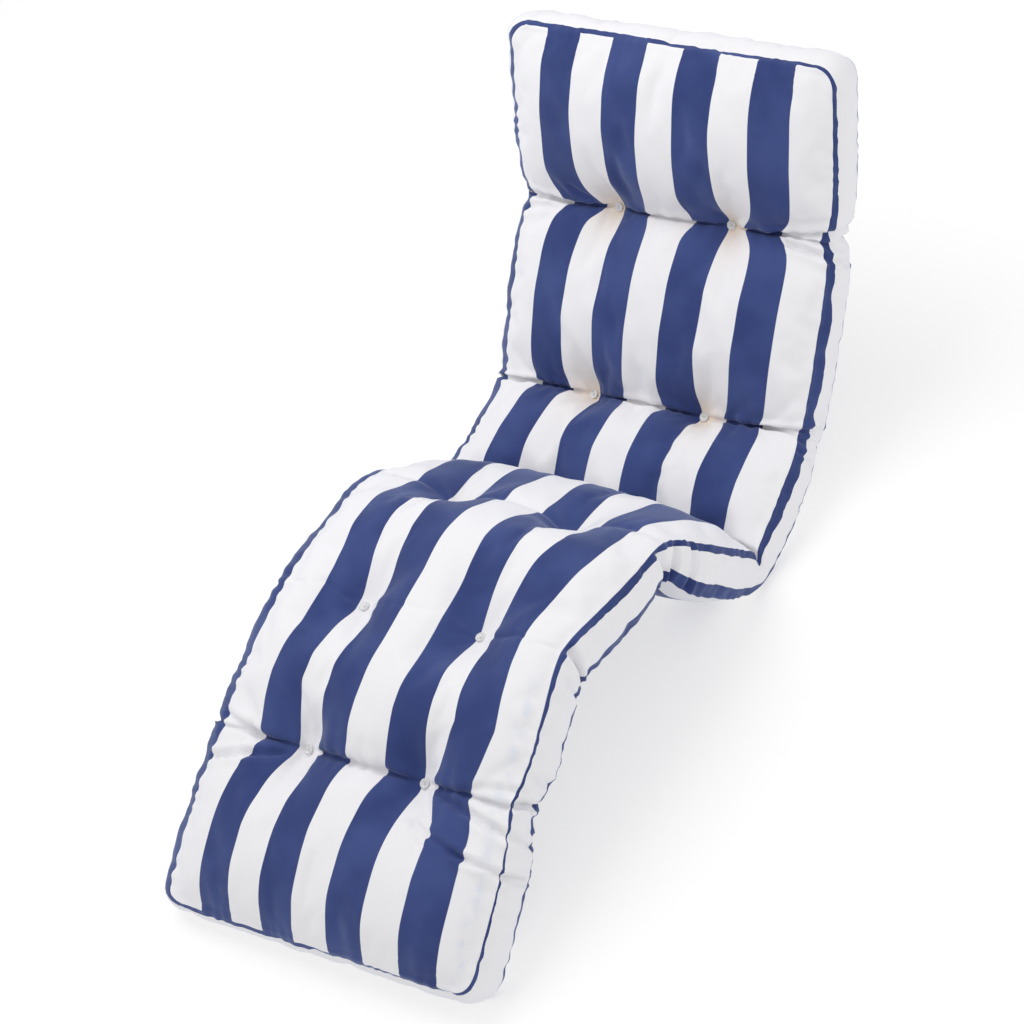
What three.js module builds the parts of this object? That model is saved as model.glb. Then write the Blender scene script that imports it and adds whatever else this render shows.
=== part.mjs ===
// A full-length chair cushion: seven padded panels in one boxed case, with twelve tufts.
// Millimetres, +Z up. +Y runs to the head end and -Y to the foot end.
// The striped face looks up and forwards, and the plain back rests on the floor at two places.
import * as THREE from "three";

// The boxing is the plain strip between the face and the back.
const BOX_HEIGHT = 80;
const BOX_BULGE = 10;
const END_BULGE = 14;
const CORNER_RADIUS = 30;
const BOX_LEVELS = 4;

// Panels from head to foot. slope is how steeply a panel lies, with its head end higher.
// crown and under are how far its face and its back swell past the seams.
// sag moves the fullest part of the face towards the foot, as a share of the length.
const PANELS = [
  { name: "headrest", length: 294, width: 614, slope: 67, crown: 48, under: 20, sag: 0.12 },
  { name: "upper back", length: 330, width: 604, slope: 48, crown: 44, under: 20, sag: 0.12 },
  { name: "lower back", length: 240, width: 602, slope: 20, crown: 42, under: 20, sag: 0.05 },
  { name: "thigh", length: 276, width: 598, slope: -51, crown: 44, under: 20, sag: 0 },
  { name: "knee", length: 240, width: 568, slope: -7, crown: 42, under: 20, sag: 0 },
  { name: "calf", length: 226, width: 564, slope: 25, crown: 42, under: 20, sag: 0.05 },
  { name: "foot", length: 274, width: 584, slope: 33, crown: 44, under: 20, sag: 0.08 },
];

// Tuft rows between the panels. bend is the length over which the slope changes.
// keep is the share of the crown that is left in the channel between two tufts.
// seat is the height of the tuft's seat over the seam, draw how far each side is drawn in
// and over what reach, skew how far the row runs askew, pinch how much thinner the boxing is.
const ROWS = [
  { name: "R1", bend: 70, keep: 0.05, seat: -14, draw: 24, reach: 34, skew: 1, pinch: 0 },
  { name: "R2", bend: 80, keep: 0.03, seat: -14, draw: 8, reach: 34, skew: 0, pinch: 4 },
  { name: "R3", bend: 88, keep: -0.15, seat: -28, draw: 0, reach: 34, skew: 0, pinch: 12 },
  { name: "R4", bend: 90, keep: 0.5, seat: -14, draw: 8, reach: 50, skew: -3, pinch: 20 },
  { name: "R5", bend: 110, keep: 0.58, seat: -14, draw: 16, reach: 90, skew: -3, pinch: 0 },
  { name: "R6", bend: 80, keep: 0.08, seat: -16, draw: 10, reach: 40, skew: -7, pinch: 14 },
];
const HEAD_SKEW = 9;
const FOOT_SKEW = -11;
const UNDER_KEEP = 0.15;
const UNDER_SEAT = -4;
const PINCH_REACH = 55;
const DRAW_SHARPNESS = 1.3;

// How full a panel stays towards its side seams and towards its rows, and how roundly it drops there.
const ACROSS_FULLNESS = 2.8;
const ACROSS_ROUNDNESS = 0.6;
const ALONG_FULLNESS = 2.4;
const ALONG_ROUNDNESS = 0.62;

// Tufts: two to a row, each on a small flat seat at the bottom of its dimple.
const TUFT_X = { left: -108, right: 111 };
const SEAT_HALF_WIDTH = 11;
const SEAT_HALF_LENGTH = 14;
const DIMPLE_REACH = 28;
const DISC_RADIUS = 8;
const DISC_THICKNESS = 2.4;
const DISC_EDGE = 0.8;
const DISC_SEGMENTS = 20;
const CLEARANCE = 0.3;

// Every slope gains this, so that the fold and the foot end settle on one floor. The floor lies
// this far under the middle of the fold, and the cushion is pressed flat on it.
const SETTLE = -0.3;
const FLOOR_DEPTH = 31;
const FOLD_ROW = 3;

// At the fold both ends of the front seams dip into it, from this far in to this far out.
const FOLD_DIP = 28;
const FOLD_DIP_REACH = 12;
const FOLD_DIP_STARTS = 160;
const FOLD_DIP_FULL = 280;

// The middle line is walked in steps this long, and past both ends.
const SPINE_STEP = 1;
const SPINE_SPARE = 60;

// Grid lines, in mm from a tuft row or from an edge, between which the surface is faceted.
const LINES_FROM_ROW = [SEAT_HALF_LENGTH, 34, 78];
const LINES_FROM_SIDE = [12, 38, 84];
const LINES_BETWEEN_TUFTS = [-165, -50, 0, 50, 165];
const CORNER_STEPS = 3;

const halfWidest = Math.max(...PANELS.map((panel) => panel.width)) / 2;
const seams = PANELS.reduce((ends, panel) => [...ends, ends.at(-1) + panel.length], [0]);
const total = seams.at(-1);
const middles = PANELS.map((panel, i) => seams[i] + panel.length / 2);

function smoothStep(t) {
  return THREE.MathUtils.smoothstep(t, 0, 1);
}

// A value at s, on straight lines between the given stations.
function between(s, stations, values) {
  if (s <= stations[0]) return values[0];
  if (s >= stations.at(-1)) return values.at(-1);
  const i = stations.findIndex((station) => station > s) - 1;
  return THREE.MathUtils.mapLinear(s, stations[i], stations[i + 1], values[i], values[i + 1]);
}

// The slope in radians at s, measured along the middle of the thickness from the head end.
function slopeAt(s) {
  let slope = PANELS[0].slope + SETTLE;
  ROWS.forEach((row, i) => {
    const turn = PANELS[i + 1].slope - PANELS[i].slope;
    slope += turn * smoothStep((s - seams[i + 1]) / row.bend + 0.5);
  });
  return THREE.MathUtils.degToRad(slope);
}

// The cushion's bent middle line, walked in short steps and set with its fold at the origin.
function makeSpine() {
  const points = [{ y: 0, z: 0 }];
  for (let s = -SPINE_SPARE + SPINE_STEP / 2; s < total + SPINE_SPARE; s += SPINE_STEP) {
    const last = points.at(-1);
    const slope = slopeAt(s);
    points.push({ y: last.y - Math.cos(slope) * SPINE_STEP, z: last.z - Math.sin(slope) * SPINE_STEP });
  }
  const fold = points[Math.round((seams[FOLD_ROW] + SPINE_SPARE) / SPINE_STEP)];
  return points.map((point) => ({ y: point.y - fold.y, z: point.z - fold.z }));
}
const spine = makeSpine();

function spineAt(s) {
  const step = (s + SPINE_SPARE) / SPINE_STEP;
  const i = THREE.MathUtils.clamp(Math.floor(step), 0, spine.length - 2);
  const share = step - i;
  return {
    y: THREE.MathUtils.lerp(spine[i].y, spine[i + 1].y, share),
    z: THREE.MathUtils.lerp(spine[i].z, spine[i + 1].z, share),
  };
}

// A row's line runs a little askew, so its left end is at another station than its right end.
const skews = [HEAD_SKEW, ...ROWS.map((row) => row.skew), FOOT_SKEW];
function skewed(x, s) {
  return s + between(s, seams, skews) * (x / halfWidest);
}

// The point x across, s along and h out from the middle line, towards the face where positive.
function place(x, s, h) {
  const station = skewed(x, s);
  const slope = slopeAt(station);
  const middle = spineAt(station);
  const z = middle.z + Math.cos(slope) * h;
  return new THREE.Vector3(x, middle.y - Math.sin(slope) * h, Math.max(z, -FLOOR_DEPTH) + FLOOR_DEPTH);
}

// Half the width between the side seams, drawn in at the rows and rounded at the corners.
function halfWidthAt(s) {
  let half = between(s, middles, PANELS.map((panel) => panel.width / 2));
  ROWS.forEach((row, i) => {
    half -= row.draw * Math.exp(-(Math.abs((s - seams[i + 1]) / row.reach) ** DRAW_SHARPNESS));
  });
  const toEnd = Math.min(s, total - s);
  const short = Math.max(CORNER_RADIUS - toEnd, 0);
  return half - CORNER_RADIUS + Math.sqrt(CORNER_RADIUS ** 2 - short ** 2);
}

// How far the front seam lies in front of the middle line.
function frontSeamAt(x, s) {
  const dip = FOLD_DIP * Math.exp(-(((s - seams[FOLD_ROW]) / FOLD_DIP_REACH) ** 2));
  return BOX_HEIGHT / 2 - dip * THREE.MathUtils.smoothstep(Math.abs(x), FOLD_DIP_STARTS, FOLD_DIP_FULL);
}

// How far the rear seam lies behind the middle line.
function rearSeamAt(s) {
  let depth = BOX_HEIGHT / 2;
  ROWS.forEach((row, i) => {
    depth -= row.pinch * Math.exp(-(((s - seams[i + 1]) / PINCH_REACH) ** 2));
  });
  return depth;
}

// How far a face swells out of its seams: full between the rows, low in their channels,
// and drawn down to a small flat seat at each tuft.
function swellAt(x, s, crowns, keeps, seats, sags) {
  const panel = THREE.MathUtils.clamp(seams.findIndex((seam) => seam > s) - 1, 0, PANELS.length - 1);
  const along = THREE.MathUtils.clamp((s - seams[panel]) / PANELS[panel].length, 0, 1);
  const shifted = along - 2 * sags[panel] * along * (1 - along);
  const across = Math.min(Math.abs(x / halfWidthAt(s)), 1);
  const acrossShape = (1 - across ** ACROSS_FULLNESS) ** ACROSS_ROUNDNESS;
  const fromMiddle = Math.min(Math.abs(2 * shifted - 1), 1);
  const alongShape = (1 - fromMiddle ** ALONG_FULLNESS) ** ALONG_ROUNDNESS;
  const kept = THREE.MathUtils.lerp(keeps[panel], keeps[panel + 1], smoothStep(along));
  const crown = between(s, middles, crowns);
  let swell = crown * acrossShape * (alongShape + (1 - alongShape) * kept);
  ROWS.forEach((row, i) => {
    for (const tuftX of Object.values(TUFT_X)) {
      const besideSeat = Math.max(Math.abs(x - tuftX) - SEAT_HALF_WIDTH, 0);
      const beyondSeat = Math.max(Math.abs(s - seams[i + 1]) - SEAT_HALF_LENGTH, 0);
      const pull = Math.exp(-Math.hypot(besideSeat, beyondSeat) / DIMPLE_REACH);
      swell += (seats[i] - swell) * pull;
    }
  });
  return swell;
}

function faceSwell(x, s) {
  const crowns = PANELS.map((panel) => panel.crown);
  const sags = PANELS.map((panel) => panel.sag);
  return swellAt(x, s, crowns, [0, ...ROWS.map((row) => row.keep), 0], ROWS.map((row) => row.seat), sags);
}

function backSwell(x, s) {
  const crowns = PANELS.map((panel) => panel.under);
  const keeps = [0, ...ROWS.map(() => UNDER_KEEP), 0];
  return swellAt(x, s, crowns, keeps, ROWS.map(() => UNDER_SEAT), PANELS.map(() => 0));
}

// Stations of the grid along the cushion, closer together beside each row and in the corners.
function stationsAlong() {
  const corner = [];
  for (let step = 0; step <= CORNER_STEPS; step += 1) {
    corner.push(CORNER_RADIUS * (1 - Math.cos((Math.PI / 2) * (step / CORNER_STEPS))));
  }
  const stations = [...corner];
  PANELS.forEach((panel, i) => {
    const first = i === 0 ? [] : [0, ...LINES_FROM_ROW];
    const last = i === PANELS.length - 1 ? [] : [...LINES_FROM_ROW].reverse();
    if (i === 0) first.push(LINES_FROM_ROW.at(-1));
    if (i === PANELS.length - 1) last.push(LINES_FROM_ROW.at(-1));
    stations.push(...first.map((line) => seams[i] + line));
    stations.push(seams[i] + panel.length / 2);
    stations.push(...last.map((line) => seams[i + 1] - line));
  });
  stations.push(...corner.reverse().map((line) => total - line));
  return stations;
}

// Places of the grid across: some beside the side seams, some at the tufts and some between.
function placesAcross(half) {
  const sides = [0, ...LINES_FROM_SIDE].map((line) => half * (1 - line / halfWidest));
  const tufts = Object.values(TUFT_X).flatMap((x) => [x - SEAT_HALF_WIDTH, x, x + SEAT_HALF_WIDTH]);
  const inner = [...tufts, ...LINES_BETWEEN_TUFTS].sort((a, b) => a - b);
  return [...sides.map((x) => -x), ...inner, ...sides.reverse()];
}

// The case as one closed mesh: a grid for the face, one for the back, and the boxing round them.
function makeCushion() {
  const stations = stationsAlong();
  const plan = stations.map((s) => placesAcross(halfWidthAt(s)).map((x) => ({ x, s })));
  const rows = plan.length;
  const columns = plan[0].length;
  const points = [];
  const triangles = [];
  const add = (point) => points.push(point) - 1;
  const quad = (a, b, c, d) => triangles.push(a, b, c, a, c, d);

  const onFace = ({ x, s }) => add(place(x, s, frontSeamAt(x, s) + faceSwell(x, s)));
  const onBack = ({ x, s }) => add(place(x, s, -rearSeamAt(s) - backSwell(x, s)));
  const face = plan.map((line) => line.map(onFace));
  const back = plan.map((line) => line.map(onBack));
  for (let i = 0; i < rows - 1; i += 1) {
    for (let j = 0; j < columns - 1; j += 1) {
      quad(face[i][j], face[i + 1][j], face[i + 1][j + 1], face[i][j + 1]);
      quad(back[i][j], back[i][j + 1], back[i + 1][j + 1], back[i + 1][j]);
    }
  }

  const loop = [];
  for (let j = 0; j < columns - 1; j += 1) loop.push([0, j]);
  for (let i = 0; i < rows - 1; i += 1) loop.push([i, columns - 1]);
  for (let j = columns - 1; j > 0; j -= 1) loop.push([rows - 1, j]);
  for (let i = rows - 1; i > 0; i -= 1) loop.push([i, 0]);
  const strips = loop.map(([i, j], k) => {
    const { x, s } = plan[i][j];
    const [beforeI, beforeJ] = loop.at(k - 1);
    const [afterI, afterJ] = loop[(k + 1) % loop.length];
    const before = plan[beforeI][beforeJ];
    const after = plan[afterI][afterJ];
    const outward = new THREE.Vector2(after.s - before.s, before.x - after.x).normalize();
    const bulge = BOX_BULGE + (END_BULGE - BOX_BULGE) * outward.y ** 2;
    const strip = [face[i][j]];
    for (let level = 1; level < BOX_LEVELS; level += 1) {
      const share = level / BOX_LEVELS;
      const out = bulge * Math.sin(Math.PI * share);
      const height = THREE.MathUtils.lerp(frontSeamAt(x, s), -rearSeamAt(s), share);
      strip.push(add(place(x + outward.x * out, s + outward.y * out, height)));
    }
    return [...strip, back[i][j]];
  });
  strips.forEach((strip, k) => {
    const next = strips[(k + 1) % strips.length];
    for (let level = 0; level < BOX_LEVELS; level += 1) {
      quad(strip[level], next[level], next[level + 1], strip[level + 1]);
    }
  });

  const geometry = new THREE.BufferGeometry().setFromPoints(points);
  geometry.setIndex(triangles);
  geometry.computeVertexNormals();
  return geometry;
}

// A small round disc with a softened rim, its axis along +Z and its underside at z = 0.
function makeDisc() {
  const outline = [
    new THREE.Vector2(0, 0),
    new THREE.Vector2(DISC_RADIUS - DISC_EDGE, 0),
    new THREE.Vector2(DISC_RADIUS, DISC_EDGE),
    new THREE.Vector2(DISC_RADIUS, DISC_THICKNESS - DISC_EDGE),
    new THREE.Vector2(DISC_RADIUS - DISC_EDGE, DISC_THICKNESS),
    new THREE.Vector2(0, DISC_THICKNESS),
  ];
  return new THREE.LatheGeometry(outline, DISC_SEGMENTS).rotateX(Math.PI / 2);
}

// In a hollow bend the seat curves up round the disc, so the disc stands that much higher.
// A bend is sharpest in its middle, where it turns this many times faster than on average.
const SHARPEST = 1.5;
function seatRise(row, i) {
  const turn = THREE.MathUtils.degToRad(PANELS[i].slope - PANELS[i + 1].slope);
  if (turn <= 0) return 0;
  const radius = row.bend / (SHARPEST * turn) - BOX_HEIGHT / 2 - row.seat;
  return SEAT_HALF_LENGTH ** 2 / (4 * radius);
}

const cloth = new THREE.MeshStandardMaterial({ color: 0xf1eff2, roughness: 0.9, metalness: 0 });
const plastic = new THREE.MeshStandardMaterial({ color: 0xe9ecee, roughness: 0.35, metalness: 0 });

const model = new THREE.Group();
const cushion = new THREE.Mesh(makeCushion(), cloth);
cushion.name = "cushion";
model.add(cushion);

ROWS.forEach((row, i) => {
  for (const [side, x] of Object.entries(TUFT_X)) {
    const s = seams[i + 1];
    const disc = new THREE.Mesh(makeDisc(), plastic);
    disc.name = `tuft_disc_${row.name}_${side}`;
    disc.position.copy(place(x, s, BOX_HEIGHT / 2 + row.seat + CLEARANCE + seatRise(row, i)));
    disc.rotation.x = slopeAt(skewed(x, s));
    model.add(disc);
  }
});

// The origin is at the floor, under the middle of the whole cushion's box.
const box = new THREE.Box3().setFromObject(cushion);
model.position.y = -(box.min.y + box.max.y) / 2;
model.position.x = -(box.min.x + box.max.x) / 2;

export default model;
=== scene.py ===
"""Looks of the full-length chair cushion: one striped, boxed and tufted case with its twelve tuft discs."""
import math

import bpy
import numpy as np
from mathutils import Euler, Matrix, Vector


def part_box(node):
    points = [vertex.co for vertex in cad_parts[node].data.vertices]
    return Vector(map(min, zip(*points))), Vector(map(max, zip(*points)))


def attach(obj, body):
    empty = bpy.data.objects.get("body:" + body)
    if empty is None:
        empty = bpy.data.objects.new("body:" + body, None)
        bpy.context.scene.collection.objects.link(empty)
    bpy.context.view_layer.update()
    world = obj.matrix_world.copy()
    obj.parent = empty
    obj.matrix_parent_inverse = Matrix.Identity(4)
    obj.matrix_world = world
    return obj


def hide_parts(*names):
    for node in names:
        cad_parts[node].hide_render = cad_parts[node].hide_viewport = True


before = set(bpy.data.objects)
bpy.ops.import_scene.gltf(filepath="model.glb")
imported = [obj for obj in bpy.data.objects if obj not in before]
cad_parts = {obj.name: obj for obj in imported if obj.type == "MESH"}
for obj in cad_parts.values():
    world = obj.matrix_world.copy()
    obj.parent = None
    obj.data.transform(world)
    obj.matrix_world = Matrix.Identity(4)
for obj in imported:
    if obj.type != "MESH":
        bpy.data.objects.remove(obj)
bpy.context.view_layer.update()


def table(columns, *rows):
    """The rows as dictionaries by the names of their columns."""
    return [dict(zip(columns, row)) for row in rows]


# Sizes of the case, in metres, and the number of its stripes
BOX_HEIGHT = 0.080
BOX_BULGE = {"left": 0.017, "right": 0.009}
END_BULGE = 0.014
CORNER_RADIUS = 0.030
STRIPES = 9

# Panels from head to foot: length, width, slope in degrees, swell of the face and of the back,
# how far the fullest part of the face has sagged towards the foot, as a share of the length,
# how far the left front seam is rolled in over the face, and how far the stripes lie to the right
PANELS = table(
    ("length", "width", "slope", "crown", "under", "sag", "roll", "drift"),
    (0.294, 0.614, 67, 0.048, 0.020, 0.12, 0.011, 0.006),
    (0.330, 0.604, 48, 0.044, 0.020, 0.12, 0.010, 0.004),
    (0.240, 0.602, 20, 0.042, 0.014, 0.05, 0.018, 0.000),
    (0.276, 0.598, -51, 0.050, 0.012, 0.12, 0.014, 0.022),
    (0.240, 0.568, -7, 0.050, 0.020, -0.14, 0.017, 0.016),
    (0.226, 0.564, 25, 0.042, 0.020, 0.05, 0.017, 0.015),
    (0.274, 0.584, 33, 0.044, 0.020, 0.08, 0.015, 0.010),
)

# Tuft rows: length of the bend, share of the crown kept in the channel, whether the channel is soft,
# height of the tuft's seat, how far the sides are drawn in and over what reach, how far the row runs
# askew, pinch of the boxing, and how far the dimples reach up, down and sideways on the face
ROWS = table(
    ("name", "bend", "keep", "soft", "seat", "draw", "reach", "skew", "pinch", "upward", "downward",
     "sideways"),
    ("R1", 0.070, 0.05, 0, -0.014, 0.024, 0.034, 0.001, 0.000, 0.026, 0.030, 0.026),
    ("R2", 0.080, 0.03, 0, -0.014, 0.008, 0.034, 0.000, 0.004, 0.028, 0.022, 0.026),
    ("R3", 0.088, -0.15, 0, -0.028, 0.000, 0.034, 0.000, 0.012, 0.028, 0.028, 0.028),
    ("R4", 0.090, 0.40, 0.5, -0.022, 0.008, 0.050, -0.003, 0.020, 0.030, 0.016, 0.044),
    ("R5", 0.110, 0.50, 1, -0.020, 0.016, 0.090, -0.003, 0.000, 0.036, 0.026, 0.032),
    ("R6", 0.080, 0.06, 0, -0.019, 0.010, 0.040, -0.007, 0.014, 0.045, 0.028, 0.030),
)

# How far the head and foot seams run askew, how far along a pinch of the boxing reaches, and how sharply
# the drawn-in sides come to their narrowest place
HEAD_SKEW = 0.009
FOOT_SKEW = -0.011
PINCH_REACH = 0.055
DRAW_POWER = 1.3

# The back's channels and tufts: share of its swell kept there, and height of the seats
UNDER_KEEP = 0.15
UNDER_SEAT = -0.004

# Tufts: their places across, and the half sizes of the flat seat under each disc
TUFT_X = {"left": -0.108, "right": 0.111}
SEAT_HALF_WIDTH = 0.011
SEAT_HALF_LENGTH = 0.014

# The floor under the fold's middle line, and the small turn that settles the cushion on it
SETTLE = -0.3
FLOOR_DEPTH = 0.031
FOLD_Y = 0.1406
FOLD_ROW = 3

# How far the ends of the front seams dip into the fold, how far along that reaches, and where across it
# starts and over what width it grows
FOLD_DIP = 0.020
FOLD_DIP_REACH = 0.012
FOLD_DIP_FROM = 0.16
FOLD_DIP_GROWTH = 0.12

SEAMS = np.concatenate([[0.0], np.cumsum([panel["length"] for panel in PANELS])])
TOTAL = SEAMS[-1]
MIDDLES = (SEAMS[1:] + SEAMS[:-1]) / 2
HALF_WIDEST = max(panel["width"] for panel in PANELS) / 2

# Share of the crown that the case has before it is filled
BEFORE_FILLING = 0.96

# Profile of the swell across and along a panel: how square its top is and how round its edges, and the
# share of the panel over which it rises out of a soft channel
SQUARE_ACROSS = 2.8
ROUND_ACROSS = 0.6
SQUARE_ALONG = 2.4
ROUND_ALONG = 0.62
SOFT_RISE = 0.42

# How far the lower back's left side flares out at the fold, in its front seam and in its boxing's bulge,
# and how far up and down from there the flare reaches
FLARE = 0.034
FLARE_BOXING = 0.018
FLARE_UP = 0.130
FLARE_DOWN = 0.030

# How far from the middle the left seam's roll and flare grow to their full size
ROLL_GROWTH = 0.28

# Profile of the boxing's bulge: how round its edges are, and where its fullest part lies on the left,
# where 1 is the middle and less is nearer the front seam
BULGE_ROUND = 0.8
LEFT_FULLEST = 0.65

# Grid of the case before it is smoothed: cells, how much closer they lie beside the rows and over what
# reach, and how much closer beside the side seams
ACROSS_CELLS = 64
ALONG_CELLS = 196
CORNER_CELLS = 4
CLOSER_AT_ROWS = 2.2
ROW_CELL_REACH = 0.009
CLOSER_AT_SIDES = 1.12
BOX_LEVELS = (0, 0.05, 0.14, 0.32, 0.5, 0.68, 0.86, 0.95, 1)

# Material slots of the case
FACE_SLOT, BOXING_SLOT, BACK_SLOT = 0, 1, 2


def smooth(t):
    t = np.clip(t, 0, 1)
    return t * t * (3 - 2 * t)


def slope_at(s):
    slope = np.full_like(s, PANELS[0]["slope"] + SETTLE)
    for i, row in enumerate(ROWS):
        turn = PANELS[i + 1]["slope"] - PANELS[i]["slope"]
        slope += turn * smooth((s - SEAMS[i + 1]) / row["bend"] + 0.5)
    return np.radians(slope)


def make_spine(step=0.001, spare=0.06):
    """The bent middle line as stations with their y and z, with the fold's middle at the origin."""
    stations = np.arange(-spare, TOTAL + spare, step)
    slope = slope_at(stations[:-1] + step / 2)
    y = np.concatenate([[0], np.cumsum(-np.cos(slope) * step)])
    z = np.concatenate([[0], np.cumsum(-np.sin(slope) * step)])
    fold = SEAMS[FOLD_ROW]
    return stations, y - np.interp(fold, stations, y), z - np.interp(fold, stations, z)


SPINE = make_spine()
SKEWS = [HEAD_SKEW, *(row["skew"] for row in ROWS), FOOT_SKEW]


def place(x, s, h):
    """The point x across, s along and h out from the middle line, pressed flat on the floor."""
    station = s + np.interp(s, SEAMS, SKEWS) * x / HALF_WIDEST
    slope = slope_at(station)
    y = np.interp(station, SPINE[0], SPINE[1]) - np.sin(slope) * h
    z = np.interp(station, SPINE[0], SPINE[2]) + np.cos(slope) * h
    return np.stack([x, y, np.maximum(z + FLOOR_DEPTH, 0)], -1)


def side_at(s):
    """Half the width between the side seams, without the rounding of the corners."""
    half = np.interp(s, MIDDLES, [panel["width"] / 2 for panel in PANELS])
    for i, row in enumerate(ROWS):
        half = half - row["draw"] * np.exp(-np.abs((s - SEAMS[i + 1]) / row["reach"]) ** DRAW_POWER)
    return half


def half_width_at(s):
    half = side_at(s)
    short = np.maximum(CORNER_RADIUS - np.minimum(s, TOTAL - s), 0)
    return half - CORNER_RADIUS + np.sqrt(np.maximum(CORNER_RADIUS**2 - short**2, 0))


def flare_at(s):
    """Share of the flare beside the fold: 1 at the fold."""
    from_fold = s - SEAMS[FOLD_ROW]
    return np.exp(-((from_fold / np.where(from_fold < 0, FLARE_UP, FLARE_DOWN)) ** 2))


def left_shift_at(s):
    """How far the left front seam lies in over the face, less its flare beside the fold."""
    return np.interp(s, MIDDLES, [panel["roll"] for panel in PANELS]) - FLARE * flare_at(s)


def face_x(x, s):
    """The face's own place across: its left part is rolled in, and the boxing follows it round."""
    return x + left_shift_at(s) * smooth(-x / ROLL_GROWTH)


def front_seam_at(x, s):
    """Height of the front seams over the middle line: at the fold their ends dip into it."""
    dip = FOLD_DIP * np.exp(-(((s - SEAMS[FOLD_ROW]) / FOLD_DIP_REACH) ** 2))
    return BOX_HEIGHT / 2 - dip * smooth((np.abs(x) - FOLD_DIP_FROM) / FOLD_DIP_GROWTH)


def rear_seam_at(s):
    """Depth of the rear seams under the middle line: the boxing is pinched at some rows."""
    depth = np.full_like(s, BOX_HEIGHT / 2)
    for i, row in enumerate(ROWS):
        depth -= row["pinch"] * np.exp(-(((s - SEAMS[i + 1]) / PINCH_REACH) ** 2))
    return depth


def tuft_pull(x, s, i, tuft_x):
    """How much the tuft at that place in row i holds the cloth down: 1 on its seat, less beside it."""
    beside = np.maximum(np.abs(x - tuft_x) - SEAT_HALF_WIDTH, 0)
    beyond = np.maximum(np.abs(s - SEAMS[i + 1]) - SEAT_HALF_LENGTH, 0)
    reach = np.where(s < SEAMS[i + 1], ROWS[i]["upward"], ROWS[i]["downward"])
    return np.exp(-np.hypot(beside / ROWS[i]["sideways"], beyond / reach))


def swell_at(x, s, crowns, keeps, seats, sags):
    """How far a face swells out of its seams, low in the channels and lowest at the tufts."""
    panel = np.clip(np.searchsorted(SEAMS, s, side="right") - 1, 0, len(PANELS) - 1)
    along = np.clip((s - SEAMS[panel]) / (SEAMS[panel + 1] - SEAMS[panel]), 0, 1)
    shifted = along - 2 * np.array(sags)[panel] * along * (1 - along)
    across = np.minimum(np.abs(x / half_width_at(s)), 1)
    across_shape = (1 - across**SQUARE_ACROSS) ** ROUND_ACROSS
    along_shape = np.maximum(1 - np.abs(2 * shifted - 1) ** SQUARE_ALONG, 0) ** ROUND_ALONG
    soft = np.array([0, *(row["soft"] for row in ROWS), 0])
    soft = soft[panel] * (1 - smooth(along)) + soft[panel + 1] * smooth(along)
    along_shape += soft * (smooth(np.minimum(shifted, 1 - shifted) / SOFT_RISE) - along_shape)
    kept = np.array(keeps)[panel] * (1 - smooth(along)) + np.array(keeps)[panel + 1] * smooth(along)
    swell = np.interp(s, MIDDLES, crowns) * across_shape * (along_shape + (1 - along_shape) * kept)
    for i, seat in enumerate(seats):
        for tuft_x in TUFT_X.values():
            swell = swell + (seat - swell) * tuft_pull(x, s, i, tuft_x)
    return swell


def face_swell(x, s):
    crowns = [panel["crown"] * BEFORE_FILLING for panel in PANELS]
    keeps = [0, *(row["keep"] for row in ROWS), 0]
    return swell_at(x, s, crowns, keeps, [row["seat"] for row in ROWS], [p["sag"] for p in PANELS])


def back_swell(x, s):
    crowns = [panel["under"] for panel in PANELS]
    keeps = [0, *(UNDER_KEEP for _ in ROWS), 0]
    return swell_at(x, s, crowns, keeps, [UNDER_SEAT] * len(ROWS), [0] * len(PANELS))


def stations_along(step=0.0005):
    """Grid stations from the head seam to the foot seam, closer together in the corners and at the rows."""
    corner = CORNER_RADIUS * (1 - np.cos(np.linspace(0, np.pi / 2, CORNER_CELLS + 1)))
    fine = np.arange(CORNER_RADIUS, TOTAL - CORNER_RADIUS, step)
    from_row = np.min([np.abs(fine - SEAMS[i + 1]) for i in range(len(ROWS))], axis=0)
    cells = np.cumsum(1 + CLOSER_AT_ROWS * np.exp(-((from_row / ROW_CELL_REACH) ** 2)))
    middle = np.interp(np.linspace(cells[0], cells[-1], ALONG_CELLS + 1), cells, fine)
    middle[-1] = TOTAL - CORNER_RADIUS
    for i in range(len(ROWS)):
        middle[np.argmin(np.abs(middle - SEAMS[i + 1]))] = SEAMS[i + 1]
    return np.concatenate([corner[:-1], middle, TOTAL - corner[-2::-1]])


def read(items, name, size):
    """One property of all these items of a mesh, in rows of that many numbers."""
    values = np.empty(len(items) * size, np.float32)
    items.foreach_get(name, values)
    return values.reshape(-1, size).astype(float)


def read_places(mesh):
    """Each point's place across and along the flat cloth, and its level on the boxing."""
    return [read(mesh.attributes[name].data, "value", 1)[:, 0] for name in ("across", "along", "level")]


def write_points(mesh, points):
    """Moves the points, none of them below the floor."""
    points[:, 2] = np.maximum(points[:, 2], 0)
    mesh.vertices.foreach_set("co", points.astype(np.float32).ravel())
    mesh.update()


def write_layer(mesh, name, values):
    layer = mesh.attributes.new(name, "FLOAT", "POINT")
    layer.data.foreach_set("value", values.astype(np.float32))


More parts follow.
